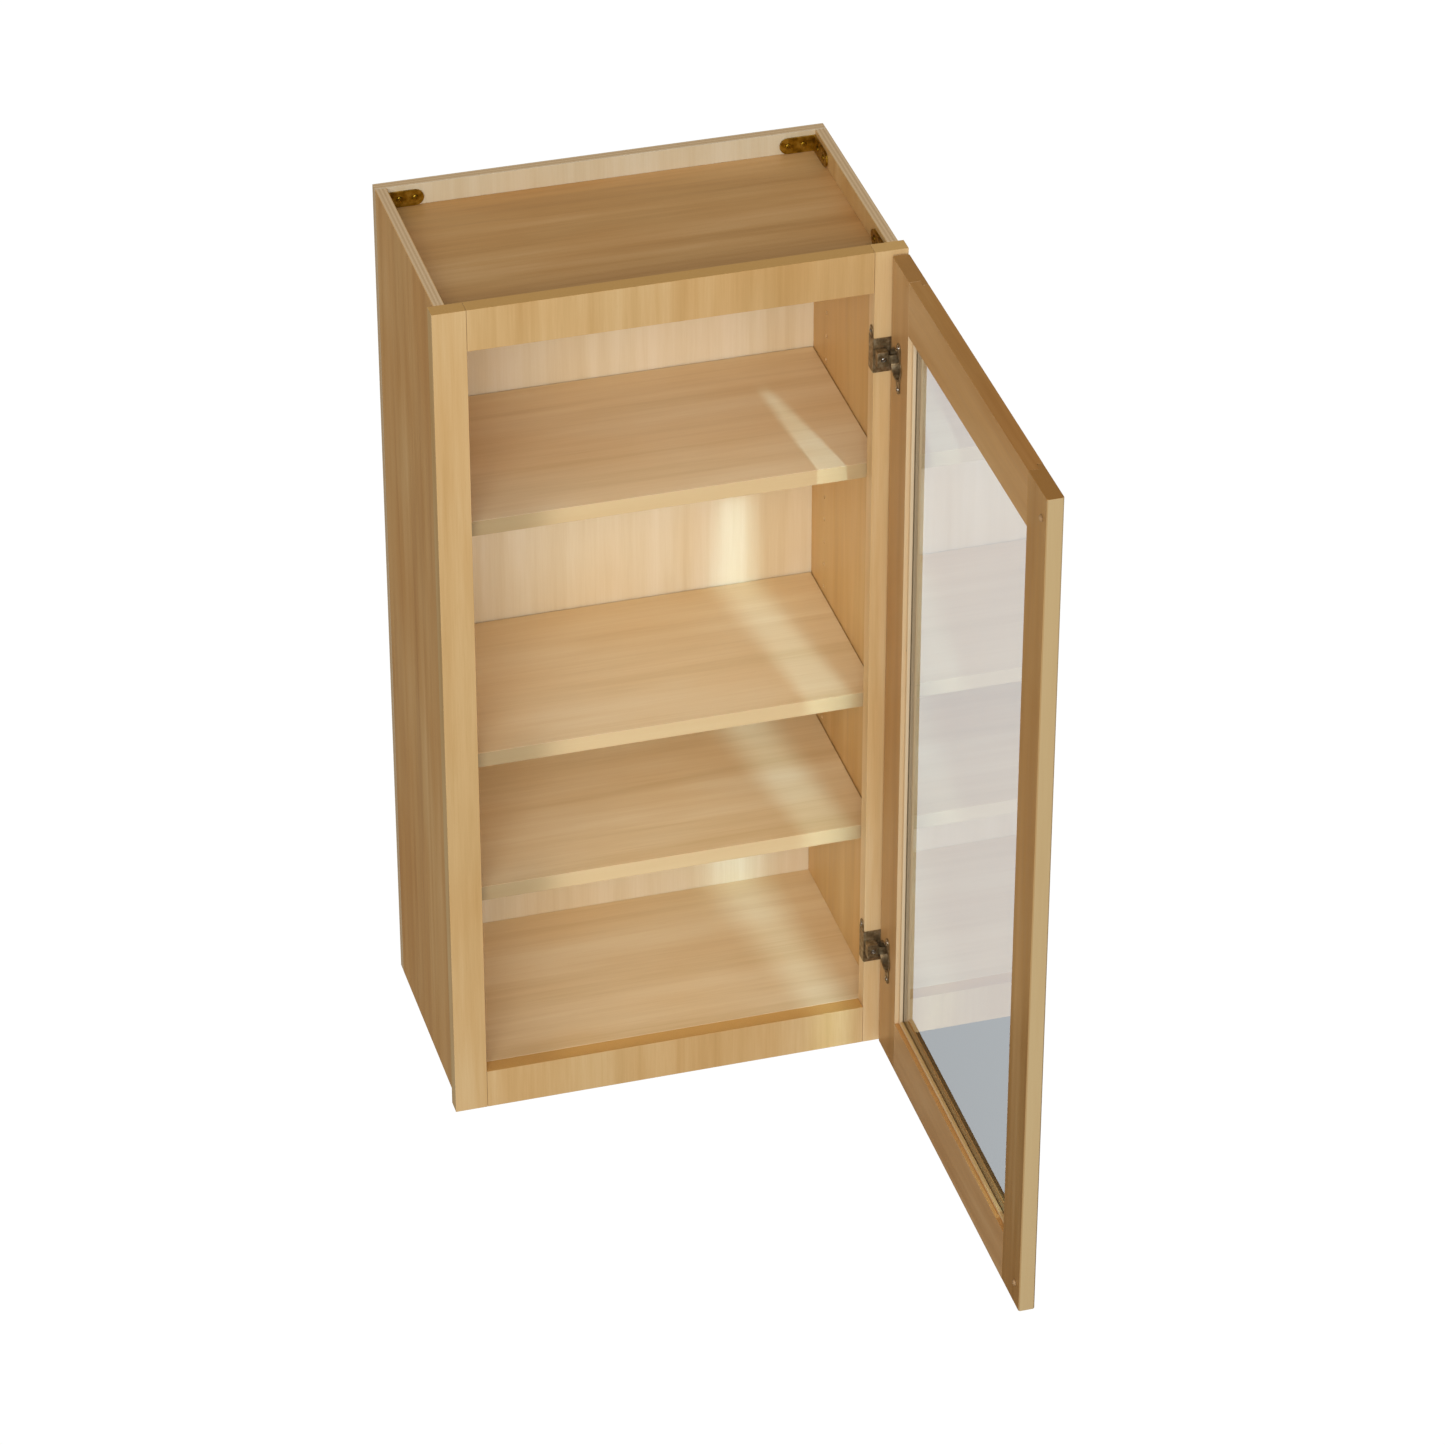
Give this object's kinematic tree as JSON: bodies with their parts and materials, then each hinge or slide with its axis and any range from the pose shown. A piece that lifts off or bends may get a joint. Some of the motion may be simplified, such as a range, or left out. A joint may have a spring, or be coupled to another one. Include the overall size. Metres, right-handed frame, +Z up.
{
  "type": "wall cabinet",
  "caption": "Tall face-frame wall cabinet in natural maple with a glazed shaker door on concealed hinges and adjustable shelves.",
  "frame": {"origin": "middle of the back face, the face that lies on the wall", "axes": "+X to the right of a person facing the cabinet, +Y into the wall, +Z up"},
  "size_m": [0.5334, 0.8321, 1.0668],
  "materials": {
    "side_ply": "satin clear coat on maple veneer",
    "panel_ply": "satin clear coat on maple veneer",
    "frame_maple": "satin clear coat on solid maple",
    "door_maple": "satin clear coat on solid maple",
    "glass": "clear polished",
    "pin_steel": "bright zinc",
    "nickel": "nickel plated",
    "yellow_zinc": "yellow chromate on zinc",
    "bumper_rubber": "soft, slightly clear"
  },
  "bodies": {
    "cabinet": {"left_side_panel": "side_ply", "right_side_panel": "side_ply", "back_panel": "panel_ply", "top_panel": "panel_ply", "bottom_panel": "panel_ply", "upper_shelf": "panel_ply", "middle_shelf": "panel_ply", "lower_shelf": "panel_ply", "left_frame_stile": "frame_maple", "right_frame_stile": "frame_maple", "top_frame_rail": "frame_maple", "bottom_frame_rail": "frame_maple", "upper_shelf_pin_front_left": "pin_steel", "upper_shelf_pin_front_right": "pin_steel", "upper_shelf_pin_rear_left": "pin_steel", "upper_shelf_pin_rear_right": "pin_steel", "middle_shelf_pin_front_left": "pin_steel", "middle_shelf_pin_front_right": "pin_steel", "middle_shelf_pin_rear_left": "pin_steel", "middle_shelf_pin_rear_right": "pin_steel", "lower_shelf_pin_front_left": "pin_steel", "lower_shelf_pin_front_right": "pin_steel", "lower_shelf_pin_rear_left": "pin_steel", "lower_shelf_pin_rear_right": "pin_steel", "top_bracket_rear_left": "yellow_zinc", "top_bracket_rear_right": "yellow_zinc", "top_bracket_front_left": "yellow_zinc", "top_bracket_front_right": "yellow_zinc", "bottom_bracket_rear_left": "yellow_zinc", "bottom_bracket_rear_right": "yellow_zinc", "bottom_bracket_front_left": "yellow_zinc", "bottom_bracket_front_right": "yellow_zinc", "upper_hinge_base": "nickel", "upper_hinge_arm": "nickel", "upper_hinge_base_screw": "pin_steel", "upper_hinge_adjuster_screw": "pin_steel", "lower_hinge_base": "nickel", "lower_hinge_arm": "nickel", "lower_hinge_base_screw": "pin_steel", "lower_hinge_adjuster_screw": "pin_steel"},
    "door": {"door_hinge_stile": "door_maple", "door_free_stile": "door_maple", "door_top_rail": "door_maple", "door_bottom_rail": "door_maple", "hinge_side_glazing_bead": "door_maple", "free_side_glazing_bead": "door_maple", "top_glazing_bead": "door_maple", "bottom_glazing_bead": "door_maple", "glass_pane": "glass", "upper_bumper": "bumper_rubber", "lower_bumper": "bumper_rubber", "upper_hinge_cup": "nickel", "upper_hinge_pin": "pin_steel", "upper_hinge_cup_screw_upper": "pin_steel", "upper_hinge_cup_screw_lower": "pin_steel", "lower_hinge_cup": "nickel", "lower_hinge_pin": "pin_steel", "lower_hinge_cup_screw_upper": "pin_steel", "lower_hinge_cup_screw_lower": "pin_steel"}
  },
  "joints": [
    {"name": "door_swing", "type": "hinge", "parent": "cabinet", "child": "door", "pos_m": [0.25555, -0.3138, 0], "axis": [0, 0, 1], "range_deg": [-90, 15]}
  ]
}
